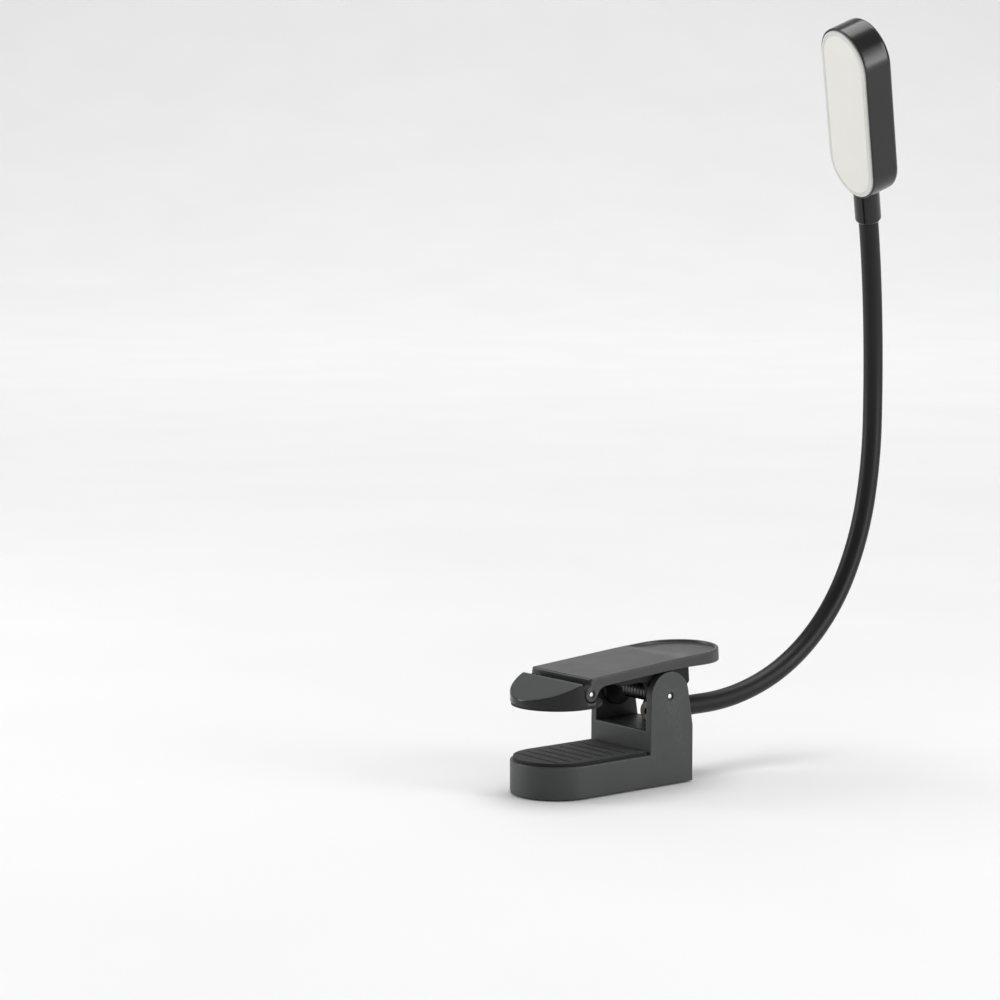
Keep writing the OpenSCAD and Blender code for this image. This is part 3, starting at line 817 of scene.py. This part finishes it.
def neck_ferrule():
    """Stepped ferrule with three grooves, where the neck leaves the housing."""
    grooves = [(0.9, 5.6, 5.5), (2.4, 5.45, 5.35), (3.9, 5.25, 5.1)]
    profile = [(-1.0, 4.2), (-1.0, 5.6)]
    for x, before, after in grooves:
        profile += [(x, before), (x + 0.1, before - 0.3), (x + 0.4, before - 0.3), (x + 0.5, after)]
    profile += [(5.5, 4.9), (5.85, 4.75), (6.0, 4.5), (6.0, 4.02)]
    ferrule = turned("neck_ferrule_ribbed", profile, along_axis((1, 0, 0), (rear_x, 0, neck_z)))
    finished(ferrule, "neck_ferrule_ribbed", "ferrule_plastic", "housing", "neck_ferrule", sharp=30)


battery_housing()
for button_node in button_nodes:
    button_cap(button_node)
neck_ferrule()


# ---------------------------------------------------------------- jaw spring

def jaw_spring():
    """Torsion spring round the main pin, with a leg down to the deck and a leg up to the handle."""
    wire_r, coil_r, turns, pitch, steps, leg_steps = 0.75, 2.85, 8, 1.75, 48, 6
    half = turns * pitch / 2
    down = deck_z - hinge.z + 0.1
    up = plate_top - plate_t - 0.4
    path = [(coil_r, -half, down - down * k / leg_steps) for k in range(leg_steps)]
    for i in range(turns * steps + 1):
        a = 2 * math.pi * i / steps
        path.append((coil_r * math.cos(a), -half + pitch * i / steps, coil_r * math.sin(a)))
    path += [(coil_r, half, up * k / leg_steps) for k in range(1, leg_steps + 1)]
    path = [hinge + Vector(p) for p in path]
    rings = []
    for i, p in enumerate(path):
        along = path[min(i + 1, len(path) - 1)] - path[max(i - 1, 0)]
        rings.append(ring(p, along.normalized(), wire_r, 14))
    spring = lofted("torsion_spring", rings, ladder=False)
    finished(spring, "torsion_spring", "spring_steel", None, "jaw_spring")
    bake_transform(spring)


jaw_spring()


# ---------------------------------------------------------------- neck

bends = [joint_point(f"neck_bend_{n}") for n in range(1, 9)]
neck_r = (box_mm("sleeve_0")[1].z - box_mm("sleeve_0")[0].z) / 2
collar_x = sum(span_along("head_collar", head_x)) / 2 - front_x
head_foot = HEAD @ Vector((collar_x, 0, collar_foot))
neck_start = Vector((rear_x - 4, 0, neck_z))


def neck_line(spacing=1.1):
    """Samples (distance, point, direction) along the neck, and how far along it each bend is."""
    samples, marks, travelled = [], [], 0.0
    direction = Vector((1, 0, 0))
    here = neck_start
    for target in bends + [head_foot]:
        chord = target - here
        unit = chord.normalized()
        turn = 2 * direction.angle(unit, 0.0)
        count = max(4, round(chord.length / spacing))
        if turn < 1e-4:
            length = chord.length
            for k in range(count):
                samples.append((travelled + length * k / count, here + chord * k / count, direction))
            after = direction
        else:
            side = (unit - direction * unit.dot(direction)).normalized()
            radius = chord.length / (2 * math.sin(turn / 2))
            length = radius * turn
            for k in range(count):
                a = turn * k / count
                p = here + direction * radius * math.sin(a) + side * radius * (1 - math.cos(a))
                facing = direction * math.cos(a) + side * math.sin(a)
                samples.append((travelled + length * k / count, p, facing))
            after = direction * math.cos(turn) + side * math.sin(turn)
        travelled += length
        here, direction = target, after
        marks.append(travelled)
    samples.append((travelled, here, direction))
    return samples, marks[:-1], travelled


def neck_sleeves():
    """Rubber sleeve in eight lengths, each with a bend in its middle that it turns smoothly over."""
    samples, marks, neck_length = neck_line()
    limits = [0.0] + [(a + b) / 2 for a, b in zip(marks, marks[1:])] + [neck_length]

    def nearest(travelled):
        return min(range(len(samples)), key=lambda i: abs(samples[i][0] - travelled))

    for n in range(8):
        name = f"neck_sleeve_{n + 1}"
        stretch = samples[nearest(limits[n]):nearest(limits[n + 1]) + 1]
        tube = lofted(name, [ring(p, t, neck_r, 40) for _, p, t in stretch], ladder=False)
        nodes = [f"sleeve_{n}"] + (["sleeve_8"] if n == 7 else [])
        finished(tube, name, "sleeve_rubber", None, *nodes)
        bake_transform(tube)


neck_sleeves()


# ---------------------------------------------------------------- light head

shell_wall = 1.2
lens_gap = 0.86
collar_l = -head_l / 2 - collar_foot


def head_piece(name, levels):
    """A closed skin round the head, from (inset, depth) pairs."""
    rings = [[(depth, y, z) for z, y in pill(head_l, head_w, inset)] for inset, depth in levels]
    return lofted(name, rings, HEAD)


def head_casing():
    """Casing with a rounded back, a narrow front lip, and the hollow behind the diffuser."""
    levels = [(shell_wall + 0.4, head_t - 1.8), (shell_wall, head_t - 2.4)]
    levels += [(shell_wall, 2.0), (shell_wall, 1.7), (0.86, 1.6), (0.80, 1.5), (0.80, 0.35)]
    levels += [(0.78, 0.12), (0.68, 0.02), (0.55, 0.0), (0.30, 0.0)]
    levels += [(0.16, 0.03), (0.05, 0.13), (0.0, 0.3), (0.0, 0.8)]
    levels += rounded(head_t, 2.0, 1, 9, 0.6)
    casing = head_piece("head_casing", levels)
    finished(casing, "head_casing", "head_plastic", "head", "head_shell", sharp=40)


def diffuser_edge():
    """Raised rim of the diffuser, with a shallow groove inside it, painted darker than the panel as painted shade
    along the diffuser's edge.
    """
    levels = [(1.3, 1.5), (lens_gap + 0.05, 1.5), (lens_gap, 1.4), (lens_gap, -0.15)]
    levels += [(0.92, -0.42), (1.10, -0.60), (1.35, -0.68), (1.60, -0.70), (2.30, -0.70)]
    levels += [(2.42, -0.66), (2.50, -0.58), (2.6, -0.55), (2.9, -0.55)]
    rim = head_piece("diffuser_edge", levels)
    finished(rim, "diffuser_edge", "diffuser", "head", sharp=40, paint="diffuser_rim_shade")


def diffuser_panel():
    """Milky panel inside the rim."""
    levels = [(3.0, -0.2), (2.62, -0.2), (2.62, -0.55), (2.70, -0.64)]
    levels += [(2.9, -0.69), (3.4, -0.70), (5.0, -0.70)]
    panel = head_piece("diffuser_panel", levels)
    finished(panel, "diffuser_panel", "diffuser", "head", "diffuser", sharp=40)


def gloss_collar():
    """Glossy collar between the neck and the head, with a rounded foot."""
    r = 5.3
    profile = [(0.0, 3.9), (0.0, 4.45), (0.12, 4.75), (0.75, 5.15), (0.95, 5.28), (1.2, r), (1.8, r)]
    profile += [(collar_l - 1, r), (collar_l + 1.0, r), (collar_l + 1.0, 3.0)]
    collar = turned("gloss_collar", profile, HEAD @ Matrix.Translation((collar_x, 0, collar_foot)))
    finished(collar, "gloss_collar", "collar_plastic", "head", "head_collar", sharp=40)


head_casing()
diffuser_edge()
diffuser_panel()
gloss_collar()


# ---------------------------------------------------------------- floor, light and camera

def stage_sheet():
    """Pale floor that curves up into a pale wall behind. Lengths are in metres."""
    floor_z = housing_z * MM - 0.0005
    near, far, bend_r, wide, tall = -5.0, 3.0, 3.0, 9.0, 7.0
    angles = [math.pi / 64 * k for k in range(1, 33)]
    profile = [(near, 0.0), (far, 0.0)]
    profile += [(far + bend_r * math.sin(a), bend_r * (1 - math.cos(a))) for a in angles]
    profile.append((far + bend_r, tall))
    forward = Vector((0.62, 0.785, 0)).normalized()
    sideways = Vector((forward.y, -forward.x, 0))
    points, faces = [], []
    for along, up in profile:
        for s in (-1, 1):
            points.append(tuple(forward * along + sideways * s * wide + Vector((0, 0, floor_z + up))))
    for k in range(len(profile) - 1):
        faces.append((2 * k, 2 * k + 1, 2 * k + 3, 2 * k + 2))
    mesh = bpy.data.meshes.new("floor")
    mesh.from_pydata(points, [], faces)
    for face in mesh.polygons:
        face.use_smooth = True
    mesh.materials.append(pale_floor())
    new_object("floor", mesh)


def pale_floor():
    made, nodes, links, shader = node_tree("pale_floor")
    clouds = ranged(nodes, links, noise(nodes, links, 6, 2), 0, 1)
    tint = mixed(nodes, links, clouds, (0.84, 0.84, 0.84), (0.86, 0.86, 0.86))
    links.new(tint, shader.inputs["Base Color"])
    shader.inputs["Roughness"].default_value = 0.7
    return made


def area_light(name, place, aim, size, power):
    lamp = bpy.data.lights.new(name, "AREA")
    lamp.shape = "RECTANGLE"
    lamp.size, lamp.size_y = size
    lamp.energy = power
    made = new_object(name, lamp)
    made.location = place
    made.rotation_euler = (Vector(aim) - Vector(place)).to_track_quat("-Z", "Y").to_euler()


def sky_panel(direction, angle, strength):
    """Broad soft light from above."""
    lamp = bpy.data.lights.new("sky_panel", "SUN")
    lamp.angle = math.radians(angle)
    lamp.energy = strength
    made = new_object("sky_panel", lamp)
    made.rotation_euler = Vector(direction).to_track_quat("Z", "Y").to_euler()


def studio_light():
    """Soft light from above, two tall panels beside the object, and one that lights the wall behind it."""
    sky_panel((0.24, 0.12, 0.95), 40, 1.6)
    area_light("right_panel", (0.62, -1.15, 0.42), (0.08, 0, 0.12), (0.42, 0.9), 7.5)
    area_light("left_panel", (-0.69, 0.84, 0.35), (0.08, 0, 0.15), (0.3, 0.9), 5)
    area_light("wall_panel", (1.6, 2.0, 3.2), (3.7, 4.7, 0.8), (3, 2), 42)
    world = bpy.data.worlds.new("studio")
    world.use_nodes = True
    background = world.node_tree.nodes["Background"]
    background.inputs["Color"].default_value = (1, 1, 1, 1)
    background.inputs["Strength"].default_value = 0.42
    bpy.context.scene.world = world
    bpy.context.scene.view_settings.view_transform = "Standard"


def camera():
    """Long lens from the front left of the clip, a little above it. It is placed from the hinge."""
    lens = bpy.data.cameras.new("camera")
    lens.lens = 107.3
    lens.sensor_width = 36
    lens.clip_start = 0.05
    right = Vector((0.78335, -0.62158, 0))
    up = Vector((0.07046, 0.08880, 0.99355))
    back = Vector((-0.61758, -0.77830, 0.11336))
    made = new_object("camera", lens)
    made.matrix_world = matrix_of(right, up, back, (hinge + Vector((-762.3, -872.1, 207.2))) * MM)
    bpy.context.scene.camera = made


stage_sheet()
studio_light()
camera()
